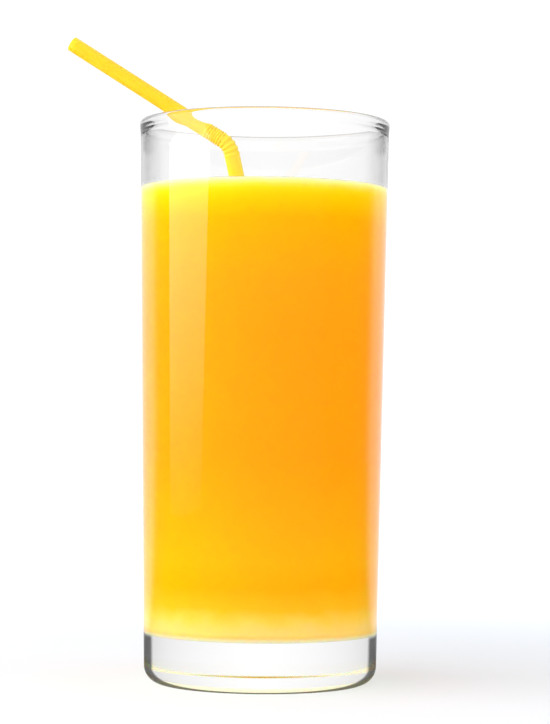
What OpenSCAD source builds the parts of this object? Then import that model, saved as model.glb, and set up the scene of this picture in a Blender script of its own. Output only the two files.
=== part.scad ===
// Tall glass of orange juice with a bendy drinking straw.
// Origin: middle of the glass's flat underside. +Z is up, -Y is the front, sizes in millimetres.

/* [Glass] */
// Height of the glass, from the underside to the top of the rim
glass_h = 150; // [125:1:190]
// Outer diameter over the rounded rim
rim_d = 67; // [60:0.5:84]
// Outer diameter that the side's taper reaches at the underside
base_d = 61.8; // [52:0.5:67]
// Wall thickness of the side
wall = 1.2; // [0.9:0.1:2.4]
// Thickness of the solid glass foot
foot_t = 13.3; // [8:0.1:20]
// Radius of the rounded edge between side and underside
heel_r = 4.8; // [2:0.1:6]
// Radius of the rounded corner at the bottom of the inside
well_r = 2.4; // [1:0.1:4]
// Thickness of the fire-polished bead around the rim
bead_d = 1.8; // [1.6:0.1:3]
// How far the bead stands out from the side
bead_proud = 0.15; // [0:0.05:0.3]

/* [Juice] */
// Distance from the top of the rim down to the juice's surface
headspace = 17.8; // [15:0.1:35]
// Clearance between the juice and what it wets, the glass and the straw
wet_gap = 0.05; // [0.03:0.01:0.2]

/* [Straw] */
// Outer diameter of the plain tube
straw_d = 4; // [3.5:0.1:5]
// Wall thickness of the plain tube
straw_wall = 0.25; // [0.2:0.05:0.4]
// Length of the short arm, from the corner of the bend to the mouth end
arm_len = 50; // [44:0.5:60]
// Angle of the short arm above the horizontal
arm_rise = 32.5; // [25:0.5:38]
// Compass direction that the short arm points in, from +X towards +Y
arm_turn = 172.5; // [168:0.5:178]
// Compass direction of the bend, seen from the glass's axis
bend_turn = -113.3; // [-118:0.5:-108]
// Distance from the inside of the glass to the straw's centre line at the bend
bend_inset = 9.7; // [8.5:0.1:12]
// Compass direction of the straw's foot, seen from the glass's axis
foot_turn = 31; // [15:1:45]
// Distance from the inside of the glass to the straw's centre line at the foot
foot_inset = 7; // [5.5:0.1:9]
// Radius of the bend along the straw's centre line
bend_r = 5.6; // [5:0.1:8]
// Clearance where the straw rests on the rim and stands on the floor of the glass
rest_gap = 0.1; // [0.05:0.05:0.3]

/* [Pleats] */
// Number of opened pleats around the bend
open_pleats = 4; // [3:1:5]
// Number of closed pleats between the bend and the short arm
shut_pleats = 6; // [3:1:8]
// Length of one closed pleat
shut_pitch = 0.7; // [0.6:0.05:0.9]
// How far a pleat's ridge stands out from the plain tube
ridge_out = 0.15; // [0.05:0.05:0.25]
// How deep a pleat's groove lies below the plain tube
groove_in = 0.25; // [0.15:0.05:0.35]

/* [Hidden] */
$fn = 96;
over = 1; // how far a cutting shape runs past what it cuts
pleat_sink = 0.1; // how deep a pleat's ends lie below the groove, so that its flanks meet the rod cleanly
pleat_share = 0.54; // share of the pitch that a pleat takes, so that pleats stay apart inside the bend
lap = 0.1; // how far the straw's round and straight stretches run into each other, hidden in a pleat
lap_step = 0.02; // difference in radius between stretches that run into each other

// The outside of the glass is a straight line from the rim down to base_d.
base_r = base_d / 2;
bead_r = bead_d / 2;
bead_z = glass_h - bead_r;
lip_r = rim_d / 2 - bead_proud;
lean = (lip_r - base_r) / bead_z;
lean_a = atan(lean);
function outside(z) = base_r + lean * z;
function inside(z) = outside(z) - wall / cos(lean_a);
bead_x = rim_d / 2 - bead_r;

level = glass_h - headspace;
straw_r = straw_d / 2;
ridge_r = straw_r + ridge_out;
groove_r = straw_r - groove_in;
bore_r = straw_r - straw_wall;
pleat_bore_r = groove_r - straw_wall;

function polar(r, turn, z) = [r * cos(turn), r * sin(turn), z];

// The short arm lies on the rim's bead. For each place on the bead, this is how high the bend's
// corner must be for the arm to clear it; the highest of them is where the arm rests.
arm_dir = [cos(arm_rise) * cos(arm_turn), cos(arm_rise) * sin(arm_turn), sin(arm_rise)];
bend_flat = polar(inside(glass_h) - bend_inset, bend_turn, 0);
rest_r = bead_r + straw_r + rest_gap;
function along(p) = (p - bend_flat) * [cos(arm_turn), sin(arm_turn), 0];
function aside(p) = (p - bend_flat) * [-sin(arm_turn), cos(arm_turn), 0];
function bend_height(p) =
    bead_z + (sqrt(rest_r ^ 2 - aside(p) ^ 2) - sin(arm_rise) * along(p)) / cos(arm_rise);
bead_points = [for (turn = [arm_turn : 0.25 : bend_turn + 360]) polar(bead_x, turn, 0)];
bend_z = max([for (p = bead_points) if (abs(aside(p)) < rest_r && along(p) > 0) bend_height(p)]);
bend = bend_flat + [0, 0, bend_z];

// The long arm runs from the bend's corner to the foot, which stands on the floor of the glass.
foot_flat = polar(inside(foot_t) - foot_inset, foot_turn, 0);
long_rough = bend - foot_flat - [0, 0, foot_t];
foot_lean = acos(long_rough[2] / norm(long_rough));
foot = foot_flat + [0, 0, foot_t + rest_gap + straw_r * sin(foot_lean)];
long_arm = bend - foot;
long_len = norm(long_arm);
long_turn = atan2(long_arm[1], long_arm[0]);
long_tilt = acos(long_arm[2] / long_len);

// The bend's angle and its plane, seen in the long arm's own frame.
across = [cos(long_tilt) * cos(long_turn), cos(long_tilt) * sin(long_turn), -sin(long_tilt)];
beside = [-sin(long_turn), cos(long_turn), 0];
bend_a = acos(arm_dir * long_arm / long_len);
bend_twist = atan2(arm_dir * beside, arm_dir * across);
tangent_len = bend_r * tan(bend_a / 2);
shut_len = shut_pleats * shut_pitch;
open_pitch = bend_r * bend_a * PI / 180 / open_pleats;
lap_a = lap / bend_r * 180 / PI;

module glass() {
    color("aliceblue", 0.4)
        rotate_extrude() {
            difference() {
                glass_block();
                well(0, glass_h);
            }
            translate([bead_x, bead_z]) circle(bead_r);
        }
}

// Half section of the glass below its bead as if it were solid, with its rounded heel.
module glass_block() {
    heel_x = outside(heel_r) - heel_r / cos(lean_a);
    translate([heel_x, heel_r])
        intersection() {
            circle(heel_r);
            translate([0, -heel_r]) square(heel_r);
        }
    polygon([
        [0, 0],
        [heel_x, 0],
        [heel_x + heel_r * cos(lean_a), heel_r * (1 - sin(lean_a))],
        [lip_r, bead_z],
        [0, bead_z]
    ]);
}

// Half section of the glass's inside, pulled in by a clearance and filled to a height.
module well(gap, top_z) {
    floor_z = foot_t + gap;
    corner_r = well_r - gap;
    corner_x = inside(foot_t + well_r) - well_r / cos(lean_a);
    translate([corner_x, foot_t + well_r])
        intersection() {
            circle(corner_r);
            translate([0, -corner_r]) square(corner_r);
        }
    polygon([
        [0, floor_z],
        [corner_x, floor_z],
        [corner_x + corner_r * cos(lean_a), foot_t + well_r - corner_r * sin(lean_a)],
        [inside(top_z) - gap / cos(lean_a), top_z],
        [0, top_z]
    ]);
}

// The juice fills the glass, and the straw's bore, up to its level. The straw's wall is cut out.
module juice() {
    color("orange")
        difference() {
            rotate_extrude() well(wet_gap, level);
            on_long_arm()
                difference() {
                    translate([0, 0, -long_len - wet_gap])
                        cylinder(h = long_len - tangent_len + wet_gap, r = straw_r + wet_gap);
                    translate([0, 0, -long_len - over])
                        cylinder(h = long_len + over, r = bore_r - wet_gap);
                }
        }
}

// Puts a shape drawn in the straw's own frame in its place: the bend's corner is the origin,
// the long arm comes up along +Z and the short arm leaves towards +X.
module on_long_arm() {
    translate(bend)
        rotate([0, long_tilt, long_turn])
            rotate([0, 0, bend_twist])
                children();
}

module straw() {
    color("gold")
        on_long_arm()
            difference() {
                straw_outside();
                straw_bore();
            }
}

// Each stretch ends inside the next one or inside a pleat, so that no two end faces share a plane.
module straw_outside() {
    translate([0, 0, -long_len]) cylinder(h = long_len - tangent_len - lap / 2, r = straw_r);
    bend_arc(groove_r);
    for (i = [0 : open_pleats - 1])
        on_bend(i / open_pleats) pleat(open_pitch);
    on_bend(1) {
        translate([0, 0, -2 * lap]) cylinder(h = shut_len + 4 * lap, r = groove_r - lap_step);
        for (i = [0 : shut_pleats])
            translate([0, 0, i * shut_pitch]) pleat(shut_pitch);
        translate([0, 0, shut_len + lap / 2])
            cylinder(h = arm_len - tangent_len - shut_len - lap / 2, r = straw_r);
    }
}

module straw_bore() {
    translate([0, 0, -long_len - over]) cylinder(h = long_len - tangent_len, r = bore_r);
    translate([0, 0, -tangent_len - 2 * over])
        cylinder(h = 2 * over + lap, r = pleat_bore_r + lap_step);
    bend_arc(pleat_bore_r);
    on_bend(1) {
        translate([0, 0, -lap]) cylinder(h = shut_len + 2 * over, r = pleat_bore_r + lap_step);
        translate([0, 0, shut_len + over]) cylinder(h = arm_len, r = bore_r);
    }
}

// Moves a shape to a share of the way round the bend, with +Z along the straw there.
module on_bend(share) {
    turn = share * bend_a;
    translate([bend_r * (1 - cos(turn)), 0, bend_r * sin(turn) - tangent_len])
        rotate([0, turn, 0])
            children();
}

// A round rod that follows the bend and runs a little past both its ends.
module bend_arc(r) {
    translate([bend_r, 0, -tangent_len])
        rotate([90, lap_a, 180])
            rotate_extrude(angle = bend_a + 2 * lap_a)
                translate([bend_r, 0]) circle(r);
}

// One pleat of the bendy part, centred on its ridge. It ends inside the groove's rod.
module pleat(pitch) {
    sunk_r = groove_r - pleat_sink;
    flank = pitch * pleat_share / 2 * (ridge_r - sunk_r) / (ridge_r - groove_r);
    translate([0, 0, -flank]) cylinder(h = flank, r1 = sunk_r, r2 = ridge_r);
    cylinder(h = flank, r1 = ridge_r, r2 = sunk_r);
}

glass();
juice();
straw();
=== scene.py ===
# %% [markdown]
# # A glass of orange juice with a bendy straw
#
# Three real things are made here: a tall clear glass, the juice that fills it, and a yellow
# bendy straw that leans on the rim. The CAD model is loaded first, because it fixes where
# everything is. Each thing then gets a finer mesh and a finish, and last come the floor, the
# lights and the camera.

# %% The CAD model and its box
import math

import bpy
from mathutils import Matrix, Vector


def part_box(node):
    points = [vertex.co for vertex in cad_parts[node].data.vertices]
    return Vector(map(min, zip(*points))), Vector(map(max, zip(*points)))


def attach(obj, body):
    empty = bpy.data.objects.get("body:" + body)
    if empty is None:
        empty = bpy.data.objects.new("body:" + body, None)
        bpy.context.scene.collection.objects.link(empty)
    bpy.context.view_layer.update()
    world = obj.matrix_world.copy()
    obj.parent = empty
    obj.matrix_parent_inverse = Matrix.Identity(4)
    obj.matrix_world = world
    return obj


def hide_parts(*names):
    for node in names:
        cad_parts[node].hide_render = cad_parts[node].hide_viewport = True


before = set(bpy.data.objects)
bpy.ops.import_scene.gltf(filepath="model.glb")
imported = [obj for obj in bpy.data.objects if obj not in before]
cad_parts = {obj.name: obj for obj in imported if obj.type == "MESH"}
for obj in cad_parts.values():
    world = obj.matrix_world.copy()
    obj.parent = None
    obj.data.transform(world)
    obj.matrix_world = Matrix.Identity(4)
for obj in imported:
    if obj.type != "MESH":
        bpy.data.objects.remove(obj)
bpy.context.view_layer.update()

print("CAD nodes:", sorted(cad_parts))

# %% [markdown]
# ## Sizes
#
# Blender works in metres and glassmakers in millimetres, so one constant turns one into the
# other. The heights come from the CAD boxes. The few sizes that a box can't tell, such as the
# wall's thickness, are written here once.

# %% Sizes that the boxes give
MM = 0.001

glass_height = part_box("glass")[1].z
rim_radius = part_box("glass")[1].x
juice_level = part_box("juice")[1].z
print("glass", round(glass_height / MM, 2), "mm high, juice up to", round(juice_level / MM, 2), "mm")

# %% Sizes of the glass that the boxes don't give
WALL = 1.2 * MM
FOOT = 13.3 * MM  # thickness of the solid glass under the juice
HEEL = 4.8 * MM  # rounding between side and underside
WELL_CORNER = 2.4 * MM  # rounding between the inside wall and the inside floor
BEAD = 0.9 * MM  # radius of the fire-polished rim
BEAD_PROUD = 0.15 * MM  # how far the bead stands out from the side
BASE_RADIUS = 30.9 * MM  # the side's straight line carried down to the underside

bead_height = glass_height - BEAD
bead_centre = rim_radius - BEAD
taper = (rim_radius - BEAD_PROUD - BASE_RADIUS) / bead_height
taper_angle = math.atan(taper)
wall_across = WALL / math.cos(taper_angle)  # the wall measured level


def outside(height):
    """Radius of the glass's outer side at a height."""
    return BASE_RADIUS + taper * height


def inside(height):
    """Radius of the glass's inner side at a height."""
    return outside(height) - wall_across


print("side leans", round(math.degrees(taper_angle), 2), "degrees")
print("inside radius at the juice's level is", round(inside(juice_level) / MM, 2), "mm")

# %% [markdown]
# ## Turning a shape round an axis
#
# Glasses are pressed, spun or blown, so they are round about one axis. Blender has a Screw
# modifier and a Spin tool for that. A loop that writes the rings itself gives clean quads, one
# closed skin and full control over how fine each curve is, so that is what this lesson uses.

# %% Skin over a list of rings
def skin(name, rings, closed=False):
    """Joins rings of equally many points into a mesh. A ring of one point is a tip."""
    points, faces, start = [], [], []
    for ring in rings:
        start.append(len(points))
        points += ring

    def corner_of(ring, place):
        return start[ring] + (place if len(rings[ring]) > 1 else 0)

    pairs = list(zip(range(len(rings)), range(1, len(rings))))
    if closed:
        pairs.append((len(rings) - 1, 0))
    for low, high in pairs:
        count = max(len(rings[low]), len(rings[high]))
        for i in range(count):
            j = (i + 1) % count
            around_face = (corner_of(low, i), corner_of(low, j), corner_of(high, j), corner_of(high, i))
            faces.append(list(dict.fromkeys(around_face)))
    mesh = bpy.data.meshes.new(name)
    mesh.from_pydata(points, [], faces)
    mesh.shade_smooth()
    made = bpy.data.objects.new(name, mesh)
    bpy.context.scene.collection.objects.link(made)
    print(name, "has", len(points), "points and", len(faces), "faces")
    return made


def turned_rings(outline, steps):
    """Rings round the Z axis through each (radius, height) of an outline."""
    turns = [math.tau * i / steps for i in range(steps)]
    return [
        [(r * math.cos(t), r * math.sin(t), z) for t in turns] if r > 0 else [(0, 0, z)]
        for r, z in outline
    ]


# %% Arcs and straight stretches of an outline
def arc(centre, radius, first, last, count):
    """Points on an arc from one angle to another, in degrees."""
    angles = [math.radians(first + (last - first) * i / count) for i in range(count + 1)]
    return [(centre[0] + radius * math.cos(a), centre[1] + radius * math.sin(a)) for a in angles]


def stretch(first, last, count):
    """Points between two places, without the places themselves."""
    return [tuple(p + (q - p) * i / count for p, q in zip(first, last)) for i in range(1, count)]


print("a quarter turn in 4 steps has", len(arc((0, 0), 1, 0, 90, 4)), "points")

# %% [markdown]
# ## The glass
#
# The real one is a highball glass: a thick clear foot that gives it weight, a rounded heel, a
# thin side that opens a little towards the top, and a rim that a flame has melted into a smooth
# bead. The melted glass flows, so the side swells softly into the bead with no crease. One
# closed outline turned once makes it all, because light has to enter and leave solid glass
# through a single skin for it to bend as it does in the real one.

# %% Round parts of the outline
GLASS_STEPS = 240
RIM_SWELL = 3.5 * MM  # height over which the side swells into the bead

lean = math.degrees(taper_angle)
heel_centre = outside(HEEL) - HEEL / math.cos(taper_angle)
corner_centre = inside(FOOT + WELL_CORNER) - WELL_CORNER / math.cos(taper_angle)
heel = arc((heel_centre, HEEL), HEEL, -90, -lean, 16)
bead = arc((bead_centre, bead_height), BEAD, 0, 180, 32)
corner = arc((corner_centre, FOOT + WELL_CORNER), WELL_CORNER, -lean, -90, 14)
print("the bead is", round(2 * BEAD / MM, 1), "mm thick, the wall", round(WALL / MM, 1), "mm")


# %% The side, which swells into the bead
def swell(height):
    """0 on the plain side and 1 at the middle of the bead."""
    share = max(0, 1 - (bead_height - height) / RIM_SWELL)
    return share * share * (3 - 2 * share)


swell_in = 2 * BEAD - BEAD_PROUD - wall_across  # how far the bead stands out of the wall's inside
side_heights = [z for r, z in stretch(heel[-1], (0, bead_height - RIM_SWELL), 60)]
side_heights += [bead_height - RIM_SWELL * (1 - i / 20) for i in range(20)]
side_out = [(outside(z) + BEAD_PROUD * swell(z), z) for z in side_heights]
side_in = [(inside(z) - swell_in * swell(z), z) for z in side_heights if z > corner[0][1]]
print("the bead stands out by", round(BEAD_PROUD / MM, 2), "mm and in by", round(swell_in / MM, 2), "mm")

# %% Outline of the glass, from the middle of the underside round to the middle of the inside
glass_outline = [(0, 0)] + stretch((0, 0), heel[0], 24) + heel + side_out + bead
glass_outline += side_in[::-1] + corner + stretch(corner[-1], (0, FOOT), 24) + [(0, FOOT)]
glass = skin("tall_glass", turned_rings(glass_outline, GLASS_STEPS))
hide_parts("glass")
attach(glass, "root")

# %% [markdown]
# ## Materials in nodes
#
# A material is a small tree of nodes that ends in a shader. Colours are picked on a screen as
# hex values, but light adds up in linear numbers, so one function turns the first into the
# second. Another adds a node with its settings and links in one call, which keeps each
# material short enough to read as a sentence.

# %% Colour and node helpers
def linear(hex_colour):
    """Turns an sRGB hex colour into the linear numbers that shaders use."""
    parts = [int(hex_colour[i : i + 2], 16) / 255 for i in (1, 3, 5)]
    return (*[p / 12.92 if p <= 0.04045 else ((p + 0.055) / 1.055) ** 2.4 for p in parts], 1)


def add(tree, kind, inputs={}, **settings):
    """Adds one node. An input takes a number, a colour or another node's output."""
    made = tree.nodes.new(kind)
    for name, value in settings.items():
        setattr(made, name, value)
    for name, value in inputs.items():
        if isinstance(value, bpy.types.NodeSocket):
            tree.links.new(value, made.inputs[name])
        else:
            made.inputs[name].default_value = value
    return made


def material(name):
    """An empty material and its tree."""
    made = bpy.data.materials.new(name)
    made.use_nodes = True
    made.node_tree.nodes.clear()
    return made, made.node_tree


print("#808080 is", round(linear("#808080")[0], 3), "in linear light")

# %% [markdown]
# ### Soda-lime glass, pressed and fire-polished
#
# Ordinary drinking glasses are soda-lime glass with an IOR of 1.52. Fire-polishing melts the
# surface smooth, so there is no roughness, only a very slight waviness that makes the edges of
# things seen through it swim. A glass shader alone would do in a real room, and three things
# are added to it here. The edges of empty and of solid glass get painted shade by the angle that
# they are seen at, as a plain white room has nothing dark for them to bend into view. The crown
# of the bead mirrors more than glass does. And Cycles can't find a lamp through refracting
# glass, so for shadow rays and diffuse rays the glass is swapped for a plain transparent shader,
# and the lamps light the juice.

# %% Waviness, and the two stretches of glass with no juice behind them
WAVE = 14.3 * MM  # length of the waves that the mould and the flame leave

glass_material, tree = material("soda_lime_glass_fire_polished")
place = add(tree, "ShaderNodeTexCoord")
waves = add(tree, "ShaderNodeTexNoise", {
    "Vector": place.outputs["Object"], "Scale": 1 / WAVE, "Detail": 1.0,
})
wavy = add(tree, "ShaderNodeBump", {
    "Height": waves.outputs["Fac"], "Strength": 0.01, "Distance": 1.0 * MM,
})
height = add(tree, "ShaderNodeSeparateXYZ", {"Vector": place.outputs["Object"]})
in_foot = add(tree, "ShaderNodeMapRange", {
    "Value": height.outputs["Z"],
    "From Min": FOOT - 0.5 * MM, "From Max": FOOT + 0.5 * MM, "To Min": 1.0, "To Max": 0.0,
})
above_juice = add(tree, "ShaderNodeMapRange", {
    "Value": height.outputs["Z"],
    "From Min": juice_level - 1 * MM, "From Max": juice_level + 1 * MM,
})
print("the empty glass above the juice is", round((glass_height - juice_level) / MM, 1), "mm high")

# %% Dark edges, painted shade
FOOT_EDGE = 0.78  # how dark the foot's edges get
FOOT_LIMB = 0.3  # and how dark they still are at the very outline
SIDE_EDGE = 0.2  # how dark the empty glass's edges get

slant = add(tree, "ShaderNodeLayerWeight", {"Blend": 0.5})
foot_edge = add(tree, "ShaderNodeMapRange", {
    "Value": slant.outputs["Facing"],
    "From Min": 0.6, "From Max": 0.68, "To Min": 0.0, "To Max": FOOT_EDGE,
}, interpolation_type="SMOOTHSTEP")
foot_limb = add(tree, "ShaderNodeMapRange", {
    "Value": slant.outputs["Facing"],
    "From Min": 0.82, "From Max": 0.96, "To Min": FOOT_EDGE, "To Max": FOOT_LIMB,
})
side_dark = add(tree, "ShaderNodeMapRange", {
    "Value": slant.outputs["Facing"],
    "From Min": 0.45, "From Max": 0.75, "To Min": 0.0, "To Max": SIDE_EDGE,
})
foot_dark = add(tree, "ShaderNodeMath", {
    0: foot_edge.outputs[0], 1: foot_limb.outputs[0],
}, operation="MINIMUM")
foot_share = add(tree, "ShaderNodeMath", {
    0: foot_dark.outputs[0], 1: in_foot.outputs[0],
}, operation="MULTIPLY")
side_share = add(tree, "ShaderNodeMath", {
    0: side_dark.outputs[0], 1: above_juice.outputs[0],
}, operation="MULTIPLY")
darker = add(tree, "ShaderNodeMath", {
    0: foot_share.outputs[0], 1: side_share.outputs[0],
}, operation="ADD")
# Painted shade: the glass's tint turns black at its edges, where a darker room would be bent into view.
glass_painted_edge_shade = add(tree, "ShaderNodeMix", {
    0: darker.outputs[0], 6: linear("#FEFEFE"), 7: linear("#000000"),
}, data_type="RGBA")
print("the foot's edges keep", round((1 - FOOT_EDGE) * 100), "percent of their light")

# %% Clear glass, the crown of its bead, and the way through for lamps
clear = add(tree, "ShaderNodeBsdfGlass", {
    "Color": glass_painted_edge_shade.outputs[2], "Roughness": 0.0, "IOR": 1.52,
    "Normal": wavy.outputs["Normal"],
})
# The crown mirrors more than it lets through, so the rim is drawn as one fine grey line.
crown = add(tree, "ShaderNodeMapRange", {
    "Value": height.outputs["Z"],
    "From Min": glass_height - 0.5 * MM, "From Max": glass_height - 0.15 * MM,
    "To Min": 0.0, "To Max": 0.9,
}, interpolation_type="SMOOTHSTEP")
shiny = add(tree, "ShaderNodeBsdfGlossy", {"Color": linear("#D2D2D2"), "Roughness": 0.05})
beaded = add(tree, "ShaderNodeMixShader", {
    0: crown.outputs[0], 1: clear.outputs[0], 2: shiny.outputs[0],
})
ray = add(tree, "ShaderNodeLightPath")
scattered = add(tree, "ShaderNodeMath", {
    0: ray.outputs["Is Shadow Ray"], 1: ray.outputs["Is Diffuse Ray"],
}, operation="MAXIMUM")
passed = add(tree, "ShaderNodeBsdfTransparent", {"Color": linear("#FBFBFB")})
mixed = add(tree, "ShaderNodeMixShader", {
    0: scattered.outputs[0], 1: beaded.outputs[0], 2: passed.outputs[0],
})
add(tree, "ShaderNodeOutputMaterial", {"Surface": mixed.outputs[0]})
glass.data.materials.append(glass_material)
print("glass material has", len(tree.nodes), "nodes")

# %% [markdown]
# ## The straw's route
#
# The juice climbs the straw a little, so the straw's route comes before the juice. A bendy
# straw is two straight arms and a round bend. The short arm lies on the rim, and the long arm
# stands on the floor of the glass. A curve object could carry the route, but a corner, a foot
# and a direction tell all of it, and their heights come from the straw's CAD box.

# %% The bend's corner and the foot
STRAW_RADIUS = 2.0 * MM
ARM = 50 * MM  # short arm, from the bend's corner to the mouth end
ARM_RISE = math.radians(32.5)
ARM_TURN = math.radians(172.5)
BEND_TURN = math.radians(-113.3)  # compass direction of the bend's corner from the glass's axis
BEND_INSET = 9.7 * MM  # from the inside of the glass
STRAW_FOOT_TURN = math.radians(31)
STRAW_FOOT_INSET = 7 * MM


def compass(radius, turn, height):
    """A place in the glass by its compass direction from the axis."""
    return Vector((radius * math.cos(turn), radius * math.sin(turn), height))


straw_low, straw_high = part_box("straw")
corner_height = straw_high.z - ARM * math.sin(ARM_RISE) - STRAW_RADIUS * math.cos(ARM_RISE)
bend_corner = compass(inside(glass_height) - BEND_INSET, BEND_TURN, corner_height)
straw_foot = compass(inside(FOOT) - STRAW_FOOT_INSET, STRAW_FOOT_TURN, FOOT)
foot_lean = (bend_corner - straw_foot).angle(Vector((0, 0, 1)))
straw_foot.z = straw_low.z + STRAW_RADIUS * math.sin(foot_lean)
print("bend's corner in mm:", [round(v / MM, 2) for v in bend_corner])
print("straw's foot in mm:", [round(v / MM, 2) for v in straw_foot])

# %% Directions of the two arms, and the bend between them
BEND_RADIUS = 5.6 * MM

long_up = (bend_corner - straw_foot).normalized()
arm_out = compass(math.cos(ARM_RISE), ARM_TURN, math.sin(ARM_RISE))
bend_angle = long_up.angle(arm_out)
tangent = BEND_RADIUS * math.tan(bend_angle / 2)
print("the straw bends by", round(math.degrees(bend_angle), 1), "degrees")

# %% [markdown]
# ## The juice
#
# A drink has no shape of its own: it takes the inside of the glass, and its surface is level
# except where it wets something and climbs it. That climb, the meniscus, is 1.6 mm high here
# and dies out over the next few millimetres. A fluid simulation could find it, but a formula
# that falls off from the wall gives the same shape at once. The juice reaches a little way into
# the glass wall, because a gap of air there would shine like a mirror, and real juice leaves none.

# %% How high the surface stands at a place
REACH = 0.15 * MM  # how far the juice reaches into the glass
CLIMB = 1.6 * MM  # up the glass
CAPILLARY = 1.6 * MM  # distance over which that climb dies out
STRAW_CLIMB = 0.7 * MM  # a thin straw lifts less juice, over a shorter way
STRAW_CAPILLARY = 0.8 * MM
flat_level = juice_level - CLIMB
where_wet = straw_foot + long_up * ((flat_level - straw_foot.z) / long_up.z)


def surface(x, y):
    """Height of the juice's surface, with its climb at the wall and round the straw."""
    to_wall = max(0, inside(juice_level) - math.hypot(x, y))
    to_straw = max(0, math.hypot(x - where_wet.x, y - where_wet.y) - STRAW_RADIUS)
    at_wall = CLIMB * math.exp(-to_wall / CAPILLARY)
    at_straw = STRAW_CLIMB * math.exp(-to_straw / STRAW_CAPILLARY)
    return flat_level + at_wall + at_straw


print("the straw goes through the surface", round(where_wet.xy.length / MM, 1), "mm from the axis")

# %% The juice's underside and side
JUICE_STEPS = 192
EDGE_DEPTH = 4 * MM  # the last stretch of the side, which follows the climbing edge

edge_low = juice_level - EDGE_DEPTH
floor_corner = arc((corner_centre, FOOT + WELL_CORNER), WELL_CORNER + REACH, -90, -lean, 12)
juice_outline = [(0, FOOT - REACH)] + stretch((0, FOOT - REACH), floor_corner[0], 16) + floor_corner
juice_outline += stretch(floor_corner[-1], (inside(edge_low) + REACH, edge_low), 70)
juice_rings = turned_rings(juice_outline, JUICE_STEPS)
print("the side has", len(juice_rings), "rings below its climbing edge")

# %% The climbing edge and the surface
edge = inside(juice_level) + REACH
compass_points = [math.tau * i / JUICE_STEPS for i in range(JUICE_STEPS)]
for share in (0, 0.2, 0.4, 0.6, 0.8, 1):
    ring = []
    for turn in compass_points:
        top = surface(edge * math.cos(turn), edge * math.sin(turn))
        z = edge_low + (top - edge_low) * share
        ring.append(tuple(compass(inside(z) + REACH, turn, z)))
    juice_rings.append(ring)

WET_BAND = 8 * MM  # rings lie close together here, where the surface curves
surface_radii = [edge - WET_BAND * (i / 20) ** 1.5 for i in range(1, 21)]
surface_radii += [(edge - WET_BAND) * (1 - i / 50) for i in range(1, 50)]
for radius in surface_radii:
    flat_ring = [(radius * math.cos(turn), radius * math.sin(turn)) for turn in compass_points]
    juice_rings.append([(x, y, surface(x, y)) for x, y in flat_ring])
juice_rings.append([(0, 0, surface(0, 0))])
juice = skin("orange_juice", juice_rings)
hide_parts("juice")
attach(juice, "root")

# %% [markdown]
# ### Orange juice with pulp
#
# Juice is water, IOR 1.35, clouded by fine pulp. Light goes a few millimetres in and comes out
# again deeper in colour. A volume shader would follow every bounce, slowly and with grain, so
# the shader scatters light under the surface and painted light, a ramp up the height, gives the
# rest: where light enters from above, the first centimetre is painted a glowing yellow, and so is
# the last one over the clear foot. Pulp gives very faint clouds, a few millimetres across.

# %% Height in the juice, pushed up and down by pulp
PULP = 6.25 * MM  # size of the clouds that pulp makes

juice_material, tree = material("orange_juice_with_pulp")
place = add(tree, "ShaderNodeTexCoord")
height = add(tree, "ShaderNodeSeparateXYZ", {"Vector": place.outputs["Object"]})
# The clouds push the painted light tints by a millimetre or so, less near the surface.
clouds = add(tree, "ShaderNodeTexNoise", {
    "Vector": place.outputs["Object"], "Scale": 1 / PULP, "Detail": 3.0,
})
centred = add(tree, "ShaderNodeMath", {0: clouds.outputs["Fac"], 1: 0.5}, operation="SUBTRACT")
push = add(tree, "ShaderNodeMapRange", {
    "Value": height.outputs["Z"],
    "From Min": juice_level - 15 * MM, "From Max": juice_level - 4 * MM,
    "To Min": 4 * MM, "To Max": 0.5 * MM,
})
drift = add(tree, "ShaderNodeMath", {
    0: centred.outputs[0], 1: push.outputs[0],
}, operation="MULTIPLY")
drifted = add(tree, "ShaderNodeMath", {
    0: height.outputs["Z"], 1: drift.outputs[0],
}, operation="ADD")
# Only the wet edge gets the pale painted light of the top. The middle of the surface keeps the painted
# colour from 4 mm down.
flat = add(tree, "ShaderNodeVectorMath", {
    0: place.outputs["Object"], 1: (1, 1, 0),
}, operation="MULTIPLY")
from_axis = add(tree, "ShaderNodeVectorMath", {0: flat.outputs[0]}, operation="LENGTH")
sunk = add(tree, "ShaderNodeMapRange", {
    "Value": from_axis.outputs["Value"],
    "From Min": inside(juice_level) - 2.5 * MM, "From Max": inside(juice_level) - 0.5 * MM,
    "To Min": 4 * MM, "To Max": 0.0,
})
painted_light_height = add(tree, "ShaderNodeMath", {
    0: drifted.outputs[0], 1: sunk.outputs[0],
}, operation="SUBTRACT")
print("clouds of pulp are", round(PULP / MM, 2), "mm across")

# %% Painted light: tints up the height of the juice
PAINTED_LIGHT_TINTS = [  # height in mm, colour
    (13.3, "#FFCE6E"), (16.4, "#FFC84C"), (19.4, "#FFB71C"), (25, "#FFAB04"), (32, "#FFAE0A"),
    (42, "#FFA70A"), (60, "#FF9D0A"), (93, "#FF9C0C"), (106, "#FF9F0E"), (116, "#FFA606"),
    (122, "#FFAB01"), (125, "#FFB700"), (128, "#FFC402"), (129.4, "#FFCE14"), (130.4, "#FFD648"),
    (131.4, "#FFE28C"), (132.2, "#FFF0C8"),
]
share = add(tree, "ShaderNodeMapRange", {
    "Value": painted_light_height.outputs[0], "From Min": FOOT, "From Max": juice_level,
})
tints = add(tree, "ShaderNodeValToRGB", {0: share.outputs[0]})
stops = tints.color_ramp.elements
for number, (tint_mm, colour) in enumerate(PAINTED_LIGHT_TINTS):
    position = max(0, min((tint_mm * MM - FOOT) / (juice_level - FOOT), 1))
    stop = stops[number] if number < len(stops) else stops.new(position)
    stop.position, stop.color = position, linear(colour)
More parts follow.
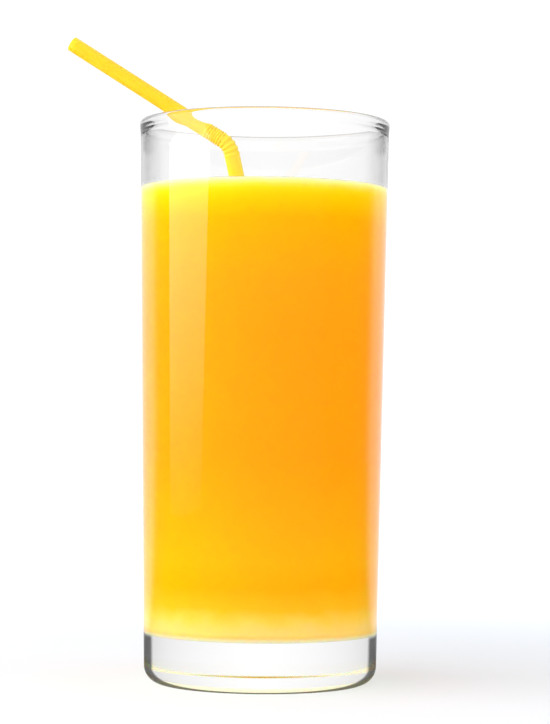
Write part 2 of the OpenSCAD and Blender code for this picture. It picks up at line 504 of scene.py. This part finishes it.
# Painted light: the clear foot lights the underside from all round, so it is painted nearly white.
under = add(tree, "ShaderNodeMapRange", {
    "Value": height.outputs["Z"],
    "From Min": FOOT, "From Max": FOOT + 1.2 * MM, "To Min": 1.0, "To Max": 0.0,
})
juice_colour_and_painted_light = add(tree, "ShaderNodeMix", {
    0: under.outputs[0], 6: tints.outputs[0], 7: linear("#FFF3C8"),
}, data_type="RGBA")
print(len(PAINTED_LIGHT_TINTS), "tints, paler at the surface and over the foot")

# %% The film at the top, the open surface and the lit underside
# The film that climbs the glass thins out to nothing at its top.
film = add(tree, "ShaderNodeMapRange", {
    "Value": height.outputs["Z"],
    "From Min": juice_level - 0.6 * MM, "From Max": juice_level + 0.2 * MM,
    "To Min": 1.0, "To Max": 0.0,
}, interpolation_type="SMOOTHSTEP")
# Juice against glass hardly mirrors at all. Only its open surface does, which faces up.
outward = add(tree, "ShaderNodeNewGeometry")
upwards = add(tree, "ShaderNodeSeparateXYZ", {"Vector": outward.outputs["Normal"]})
open_air = add(tree, "ShaderNodeMapRange", {
    "Value": upwards.outputs["Z"], "From Min": 0.2, "From Max": 0.6, "To Min": 0.06, "To Max": 0.5,
})
# The foot gathers light and throws it up at the underside. Cycles leaves that out, so a little is added.
gathered = add(tree, "ShaderNodeMapRange", {
    "Value": height.outputs["Z"],
    "From Min": FOOT - REACH, "From Max": FOOT - 0.05 * MM, "To Min": 0.4, "To Max": 0.0,
})
cloudy = add(tree, "ShaderNodeBsdfPrincipled", {
    "Base Color": juice_colour_and_painted_light.outputs[2], "Roughness": 0.12, "IOR": 1.35,
    "Specular IOR Level": open_air.outputs[0], "Alpha": film.outputs[0],
    "Emission Color": linear("#FFF8E4"), "Emission Strength": gathered.outputs[0],
    "Subsurface Weight": 1.0, "Subsurface Radius": (1.0, 0.45, 0.12), "Subsurface Scale": 3.0 * MM,
})
add(tree, "ShaderNodeOutputMaterial", {"Surface": cloudy.outputs[0]})
juice.data.materials.append(juice_material)
print("juice material has", len(tree.nodes), "nodes")

# %% [markdown]
# ## The straw
#
# A bendy straw is a thin polypropylene tube. A machine presses rings of pleats into a short
# stretch of it: pushed together they are closed, and where the straw is bent they open like a
# fan. The tube is made by carrying a ring along the straw's route and changing its radius on
# the way, so that the pleats are real shape, with crests and grooves that catch the light.

# %% Places along the straw
long_straight = (bend_corner - straw_foot).length - tangent
bend_length = BEND_RADIUS * bend_angle
straw_length = long_straight + bend_length + ARM - tangent
bend_start = bend_corner - long_up * tangent
bend_end = bend_corner + arm_out * tangent
straw_side = long_up.cross(arm_out).normalized()
to_bend_middle = straw_side.cross(long_up)


def straw_place(distance):
    """Point and direction of the straw at a distance from its foot."""
    if distance < long_straight:
        return straw_foot + long_up * distance, long_up
    if distance < long_straight + bend_length:
        turned = (distance - long_straight) / BEND_RADIUS
        middle = bend_start + to_bend_middle * BEND_RADIUS
        out = Matrix.Rotation(turned, 3, straw_side)
        return middle - out @ to_bend_middle * BEND_RADIUS, out @ long_up
    return bend_end + arm_out * (distance - long_straight - bend_length), arm_out


print("the straw is", round(straw_length / MM, 1), "mm long along its middle")

# %% The pleats
OPEN_PLEATS = 4
SHUT_PLEATS = 6
SHUT_PITCH = 0.7 * MM
CREST = 2.1 * MM  # outer radius on a pleat's crest
GROOVE = 1.88 * MM  # and in the groove beside it
OPEN_SHARE = 0.42  # an open pleat's half width, as a share of its pitch
SHUT_SHARE = 0.5
CREST_ROUND = 0.8  # under 1, so that crests are broader than grooves
open_pitch = bend_length / OPEN_PLEATS

crests = [long_straight + i * open_pitch for i in range(OPEN_PLEATS)]
crests += [long_straight + bend_length + i * SHUT_PITCH for i in range(SHUT_PLEATS + 1)]


def straw_outer(distance):
    """Outer radius of the straw at a distance from its foot."""
    if distance < crests[0] - open_pitch / 2 or distance > crests[-1] + SHUT_PITCH / 2:
        return STRAW_RADIUS
    nearest = min(crests, key=lambda c: abs(c - distance))
    is_open = nearest < crests[OPEN_PLEATS] - open_pitch / 2
    half = open_pitch * OPEN_SHARE if is_open else SHUT_PITCH * SHUT_SHARE
    away = min(1, abs(distance - nearest) / half)
    low = GROOVE if crests[0] < distance < crests[-1] else STRAW_RADIUS
    return low + (CREST - low) * (0.5 + 0.5 * math.cos(math.pi * away)) ** CREST_ROUND


first_mm, last_mm = round(crests[0] / MM, 1), round(crests[-1] / MM, 1)
print(len(crests), "crests, from", first_mm, "to", last_mm, "mm from the foot")

# %% Where the straw's rings go
RING_POINTS = 64
PLEAT_STEP = 0.06 * MM  # from ring to ring in the pleats


def straw_ring(distance, radius):
    """Ring of points round the straw at a distance from its foot."""
    middle, direction = straw_place(distance)
    across = straw_side.cross(direction)
    turns = [math.tau * i / RING_POINTS for i in range(RING_POINTS)]
    return [tuple(middle + (across * math.cos(t) + straw_side * math.sin(t)) * radius) for t in turns]


pleat_rings = int((crests[-1] - crests[0] + 2 * open_pitch) / PLEAT_STEP)
pleated = [crests[0] - open_pitch + i * PLEAT_STEP for i in range(pleat_rings)]
stations = [pleated[0] * i / 60 for i in range(60)] + pleated
stations += [pleated[-1] + (straw_length - pleated[-1]) * i / 24 for i in range(1, 24)]
print(len(stations), "rings,", len(pleated), "of them in the pleats")

# %% The straw's mesh
STRAW_WALL = 0.25 * MM
LIP = 0.08 * MM  # the cut end is very slightly rounded

straw_rings = [straw_ring(d, straw_outer(d)) for d in stations]
straw_rings.append(straw_ring(straw_length - LIP, STRAW_RADIUS))
straw_rings.append(straw_ring(straw_length, STRAW_RADIUS - LIP))
straw_rings.append(straw_ring(straw_length, STRAW_RADIUS - STRAW_WALL + LIP))
straw_rings.append(straw_ring(straw_length - LIP, STRAW_RADIUS - STRAW_WALL))
straw_rings += [straw_ring(d, straw_outer(d) - STRAW_WALL) for d in reversed(stations)]
straw = skin("bendy_straw", straw_rings, closed=True)
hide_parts("straw")
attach(straw, "root")

# %% [markdown]
# ### Lemon yellow polypropylene, extruded
#
# Polypropylene has an IOR of 1.49. A drawn tube is satin rather than glossy, and its thin wall
# lets light soak through, which keeps the yellow clean and bright even on the shaded side. A
# translucent shader could do that too, but scattering under the surface also softens the
# pleats. The wall is a little uneven, which breaks up the gloss.

# %% Material of the straw
WALL_WAVE = 3.03 * MM  # unevenness of the wall, a little coarser than it is, so that it shows

straw_material, tree = material("polypropylene_extruded_lemon_yellow")
place = add(tree, "ShaderNodeTexCoord")
uneven = add(tree, "ShaderNodeTexNoise", {
    "Vector": place.outputs["Object"], "Scale": 1 / WALL_WAVE, "Detail": 2.0,
})
# Painted light: the juice's orange glow would win just above it, so the straw's colour is painted lemon
# there and deeper further up.
height = add(tree, "ShaderNodeSeparateXYZ", {"Vector": place.outputs["Object"]})
far_up = add(tree, "ShaderNodeMapRange", {
    "Value": height.outputs["Z"],
    "From Min": juice_level + 2 * MM, "From Max": juice_level + 20 * MM,
})
lemon_and_painted_light = add(tree, "ShaderNodeMix", {
    0: far_up.outputs[0], 6: linear("#FFE018"), 7: linear("#FFB60A"),
}, data_type="RGBA")
# The paler tone of the uneven wall gets the same painted light up the height.
paler = add(tree, "ShaderNodeMix", {
    0: far_up.outputs[0], 6: linear("#FFE41C"), 7: linear("#FFBC12"),
}, data_type="RGBA")
shade = add(tree, "ShaderNodeMix", {
    0: uneven.outputs["Fac"], 6: lemon_and_painted_light.outputs[2], 7: paler.outputs[2],
}, data_type="RGBA")
gloss = add(tree, "ShaderNodeMapRange", {
    "Value": uneven.outputs["Fac"], "To Min": 0.28, "To Max": 0.4,
})
ripple = add(tree, "ShaderNodeBump", {
    "Height": uneven.outputs["Fac"], "Strength": 0.08, "Distance": 0.1 * MM,
})
plastic = add(tree, "ShaderNodeBsdfPrincipled", {
    "Base Color": shade.outputs[2], "Roughness": gloss.outputs[0], "IOR": 1.49,
    "Normal": ripple.outputs["Normal"],
    "Subsurface Weight": 0.6, "Subsurface Radius": (1.0, 0.8, 0.15), "Subsurface Scale": 1.0 * MM,
})
add(tree, "ShaderNodeOutputMaterial", {"Surface": plastic.outputs[0]})
straw.data.materials.append(straw_material)
print("straw material has", len(tree.nodes), "nodes")

# %% [markdown]
# ## The floor
#
# Drinks are often shown on a sheet of opal acrylic that glows from below, so that the floor and
# the background turn the same clean white and only a soft shadow tells where the glass stands.
# Blender's own plane would do for it. A grid of squares written in a loop is as short, and it
# shows how a mesh numbers its faces.

# %% Opal acrylic sheet
SHEET = 3.0  # width in metres
CELLS = 12  # squares along each side

marks = [SHEET * (i / CELLS - 0.5) for i in range(CELLS + 1)]
row = CELLS + 1
sheet_mesh = bpy.data.meshes.new("opal_sheet")
sheet_mesh.from_pydata(
    [(x, y, 0) for y in marks for x in marks],
    [],
    [
        (j * row + i, j * row + i + 1, (j + 1) * row + i + 1, (j + 1) * row + i)
        for j in range(CELLS)
        for i in range(CELLS)
    ],
)
sheet = bpy.data.objects.new("opal_sheet", sheet_mesh)
bpy.context.scene.collection.objects.link(sheet)
print("the sheet is", SHEET, "m wide")

# %% [markdown]
# ## The room in the glass
#
# Clear glass has no look of its own. It shows the room twice: bent through the glass, and
# mirrored in it. In a studio the two are set apart with white boards and black ones. Light that
# comes through the glass starts on a white wall behind it, so it is bright all round. What the
# glass mirrors is white behind it and dark in front and to the sides, which keeps the mirrored
# room off the juice. Boards could be built as planes, but a formula for how bright the room is
# in each direction does the same with no edges. The sheet and the sky both use it.

# %% How bright the room is
THROUGH_MIDDLE, THROUGH_SIDE = 1.09, 0.82  # bent through the glass
MIRRORED_SIDE, MIRRORED_FRONT = 0.06, 0.04  # mirrored in it
MIRRORED_ABOVE = 0.7


def room_light(tree, way):
    """How bright the room is in a direction, bent through the glass and mirrored in it."""
    parts = add(tree, "ShaderNodeSeparateXYZ", {"Vector": way})
    sideways = add(tree, "ShaderNodeMath", {0: parts.outputs["X"]}, operation="ABSOLUTE")
    through = add(tree, "ShaderNodeMapRange", {
        "Value": sideways.outputs[0], "To Min": THROUGH_MIDDLE, "To Max": THROUGH_SIDE,
    })
    # A little above level the white part is narrower, so that the empty glass has darker sides.
    narrower = add(tree, "ShaderNodeMapRange", {
        "Value": parts.outputs["Z"],
        "From Min": 0.098, "From Max": 0.108, "To Min": 0.0, "To Max": 0.4,
    })
    out_to_side = add(tree, "ShaderNodeMath", {
        0: sideways.outputs[0], 1: narrower.outputs[0],
    }, operation="ADD")
    board = add(tree, "ShaderNodeMapRange", {
        "Value": out_to_side.outputs[0],
        "From Min": 0.76, "From Max": 0.94, "To Min": 1.0, "To Max": MIRRORED_SIDE,
    }, interpolation_type="SMOOTHSTEP")
    behind = add(tree, "ShaderNodeMapRange", {
        "Value": parts.outputs["Y"],
        "From Min": 0.1, "From Max": 0.3, "To Min": MIRRORED_FRONT, "To Max": 1.0,
    }, interpolation_type="SMOOTHSTEP")
    low = add(tree, "ShaderNodeMath", {
        0: board.outputs[0], 1: behind.outputs[0],
    }, operation="MULTIPLY")
    above = add(tree, "ShaderNodeMapRange", {
        "Value": parts.outputs["Z"],
        "From Min": 0.4, "From Max": 0.7, "To Min": 0.0, "To Max": MIRRORED_ABOVE,
    }, interpolation_type="SMOOTHSTEP")
    whole = add(tree, "ShaderNodeMath", {0: low.outputs[0], 1: above.outputs[0]}, operation="MAXIMUM")
    mirrored = add(tree, "ShaderNodeMath", {
        0: whole.outputs[0], 1: through.outputs[0],
    }, operation="MULTIPLY")
    return through.outputs[0], mirrored.outputs[0]


print("straight through the glass the room is", THROUGH_MIDDLE, "bright, to the sides", THROUGH_SIDE)

# %% [markdown]
# ### Opal acrylic, matt and lit from below
#
# Opal acrylic is clear acrylic clouded with white powder. Sanded matt, it mirrors nothing, so a
# plain diffuse shader is enough, and a little emission stands for the lamps under it. They
# stand clear of the glass, so the glow grows outwards and leaves the soft shadow alone. Rays
# that come from the glass see the room's light instead, as if the sheet were part of the room.

# %% The sheet as the eye sees it
GLOW_NEAR, GLOW_FAR = 0.1, 0.38  # beside the glass, and 40 cm away from it

sheet_material, tree = material("opal_acrylic_matt")
place = add(tree, "ShaderNodeTexCoord")
away = add(tree, "ShaderNodeVectorMath", {0: place.outputs["Object"]}, operation="LENGTH")
glowing = add(tree, "ShaderNodeMapRange", {
    "Value": away.outputs["Value"],
    "From Min": 0.1, "From Max": 0.4, "To Min": GLOW_NEAR, "To Max": GLOW_FAR,
}, interpolation_type="SMOOTHSTEP")
matt = add(tree, "ShaderNodeBsdfDiffuse", {"Color": linear("#C8CCD1")})
glow = add(tree, "ShaderNodeEmission", {
    "Color": linear("#FFFFFF"), "Strength": glowing.outputs[0],
})
lit_matt = add(tree, "ShaderNodeAddShader", {0: matt.outputs[0], 1: glow.outputs[0]})
print("the glow grows outwards from", GLOW_NEAR, "to", GLOW_FAR)

# %% The sheet as the glass shows it
FAR_WALL = 31.5 * MM  # directions are measured from the glass's far wall

from_far_wall = add(tree, "ShaderNodeVectorMath", {
    0: place.outputs["Object"], 1: (0, FAR_WALL, 0),
}, operation="SUBTRACT")
towards = add(tree, "ShaderNodeVectorMath", {0: from_far_wall.outputs[0]}, operation="NORMALIZE")
through, mirrored = room_light(tree, towards.outputs[0])
# Painted shade: the foot mirrors the sheet's near part, which is dimmed here as if it lay in the dark
# beside the glass.
near = add(tree, "ShaderNodeMapRange", {
    "Value": away.outputs["Value"],
    "From Min": 0.1, "From Max": 0.2, "To Min": 0.15, "To Max": 1.0,
}, interpolation_type="SMOOTHSTEP")
painted_shade_mirrored = add(tree, "ShaderNodeMath", {0: mirrored, 1: near.outputs[0]}, operation="MULTIPLY")
ray = add(tree, "ShaderNodeLightPath")
brightness = add(tree, "ShaderNodeMix", {
    0: ray.outputs["Is Reflection Ray"], 2: through, 3: painted_shade_mirrored.outputs[0],
}, data_type="FLOAT")
in_glass = add(tree, "ShaderNodeEmission", {
    "Color": linear("#FFFFFF"), "Strength": brightness.outputs[0],
})
seen = add(tree, "ShaderNodeMixShader", {
    0: ray.outputs["Is Glossy Ray"], 1: lit_matt.outputs[0], 2: in_glass.outputs[0],
})
add(tree, "ShaderNodeOutputMaterial", {"Surface": seen.outputs[0]})
sheet.data.materials.append(sheet_material)
print("sheet material has", len(tree.nodes), "nodes")

# %% [markdown]
# ## The light
#
# The room is a white studio: even light from everywhere, and three soft boxes for the shape. A
# big one on the left makes the juice brighter on that side, one high in front lights the near
# side, and a small one on the right fills the shade. Glass would mirror their square faces on
# the juice, so the glass doesn't see them. The one streak that it should show is made apart.

# %% The room
ROOM_LIGHT = 1.15  # what lights the matt things
BACKGROUND = 1.1  # what the eye sees past the sheet

world = bpy.data.worlds.new("white_studio")
bpy.context.scene.world = world
world.use_nodes = True
tree = world.node_tree
tree.nodes.clear()
place = add(tree, "ShaderNodeTexCoord")
ray = add(tree, "ShaderNodeLightPath")
through, mirrored = room_light(tree, place.outputs["Generated"])
in_glass = add(tree, "ShaderNodeMix", {
    0: ray.outputs["Is Reflection Ray"], 2: through, 3: mirrored,
}, data_type="FLOAT")
room = add(tree, "ShaderNodeMix", {
    0: ray.outputs["Is Glossy Ray"], 2: ROOM_LIGHT, 3: in_glass.outputs[0],
}, data_type="FLOAT")
seen = add(tree, "ShaderNodeMix", {
    0: ray.outputs["Is Camera Ray"], 2: room.outputs[0], 3: BACKGROUND,
}, data_type="FLOAT")
sky = add(tree, "ShaderNodeBackground", {"Color": linear("#FFFFFF"), "Strength": seen.outputs[0]})
add(tree, "ShaderNodeOutputWorld", {"Surface": sky.outputs[0]})
print("room has", len(tree.nodes), "nodes")


# %% Soft boxes
def soft_box(name, place, aim, width, height, brightness):
    """A rectangular lamp. Brightness is that of its face, where the room's white is 1."""
    lamp = bpy.data.lights.new(name, "AREA")
    lamp.shape = "RECTANGLE"
    lamp.size, lamp.size_y = width, height
    lamp.energy = brightness * math.pi * width * height
    made = bpy.data.objects.new(name, lamp)
    made.location = place
    made.visible_glossy = made.visible_transmission = False
    made.rotation_euler = (Vector(aim) - Vector(place)).to_track_quat("-Z", "Y").to_euler()
    bpy.context.scene.collection.objects.link(made)
    print(name, "gives", round(lamp.energy, 2), "W")


LEFT_AWAY = 0.7  # in metres, as all places and sizes of the soft boxes are
LEFT_UP = 0.32
LEFT_TURN = math.radians(76)  # from the front towards the left
to_left = Vector((-math.sin(LEFT_TURN), -math.cos(LEFT_TURN), 0))

left_place = to_left * LEFT_AWAY + Vector((0, 0, LEFT_UP))
soft_box("left_soft_box", left_place, (0, 0, 0.1), 0.75, 0.75, 2.45)
soft_box("front_soft_box", (-0.45, -0.75, 0.55), (0, 0, 0.08), 0.6, 0.6, 2.6)
soft_box("right_fill", (0.75, -0.35, 0.3), (0, 0, 0.1), 0.4, 0.5, 1.8)

# %% [markdown]
# ### The streak down the glass
#
# A round glass squeezes whatever stands beside it into a narrow upright streak, so the face of
# the left soft box shows as one pale band down the juice. A lamp's own face is evenly bright,
# and this one fades: its cloth is lit from above, so the band is bright at the top and nearly
# gone at the foot. A plane with an emission shader does that, and only the glass sees it.

# %% The face of the left soft box
FACE_BACK = -0.26  # along the face, in metres from its middle, towards the front
FACE_FRONT_LOW, FACE_FRONT_HIGH = 0.22, 0.34
FACE_TOP = 0.212

along_face = Vector((math.cos(LEFT_TURN), -math.sin(LEFT_TURN), 0))
face_corners = [
    to_left * LEFT_AWAY + along_face * along + Vector((0, 0, up))
    for along, up in (
        (FACE_BACK, 0), (FACE_FRONT_LOW, 0), (FACE_FRONT_HIGH, FACE_TOP), (FACE_BACK, FACE_TOP),
    )
]
face_mesh = bpy.data.meshes.new("soft_box_face")
face_mesh.from_pydata(face_corners, [], [(0, 1, 2, 3)])
face = bpy.data.objects.new("soft_box_face", face_mesh)
bpy.context.scene.collection.objects.link(face)
face.visible_camera = face.visible_diffuse = face.visible_shadow = False
print("the face is", FACE_TOP, "m high and", round(FACE_FRONT_HIGH - FACE_BACK, 2), "m wide at its top")

# %% Material of the soft box's cloth
face_material, tree = material("diffuser_cloth_lit_from_above")
place = add(tree, "ShaderNodeTexCoord")
parts = add(tree, "ShaderNodeSeparateXYZ", {"Vector": place.outputs["Object"]})
bright = add(tree, "ShaderNodeMapRange", {
    "Value": parts.outputs["Z"],
    "From Min": -0.02, "From Max": 0.175, "To Min": 0.1, "To Max": 2.0,
}, interpolation_type="SMOOTHSTEP")
lit = add(tree, "ShaderNodeEmission", {"Color": linear("#FFFFFF"), "Strength": bright.outputs[0]})
add(tree, "ShaderNodeOutputMaterial", {"Surface": lit.outputs[0]})
face.data.materials.append(face_material)
print("cloth material has", len(tree.nodes), "nodes")

# %% [markdown]
# ## The camera
#
# It stands 62 cm away at about half the glass's height and looks very slightly up, so the near
# side of the rim shows above the far side. A short lens from close by would spread the rim wide,
# and a 115 mm lens from here keeps the sides of the glass nearly parallel.

# %% Camera
CAMERA_PLACE = Vector((3.28, -619.6, 70.5)) * MM
LOOK_UP = 1.4  # degrees above level
ROLL = 0.52  # degrees round its own line of sight
LENS, SENSOR = 115, 36  # in mm

camera_data = bpy.data.cameras.new("camera")
camera_data.sensor_width = SENSOR
camera_data.lens = LENS
camera = bpy.data.objects.new("camera", camera_data)
camera.matrix_world = (
    Matrix.Translation(CAMERA_PLACE)
    @ Matrix.Rotation(math.radians(90 + LOOK_UP), 4, "X")
    @ Matrix.Rotation(math.radians(ROLL), 4, "Z")
)
bpy.context.scene.collection.objects.link(camera)
bpy.context.scene.camera = camera
# Colours show as they were picked, and caustics, which would only add grain, are off.
bpy.context.scene.view_settings.view_transform = "Standard"
bpy.context.scene.cycles.caustics_reflective = False
bpy.context.scene.cycles.caustics_refractive = False
print("camera is", round(CAMERA_PLACE.length, 3), "m from the middle of the underside")
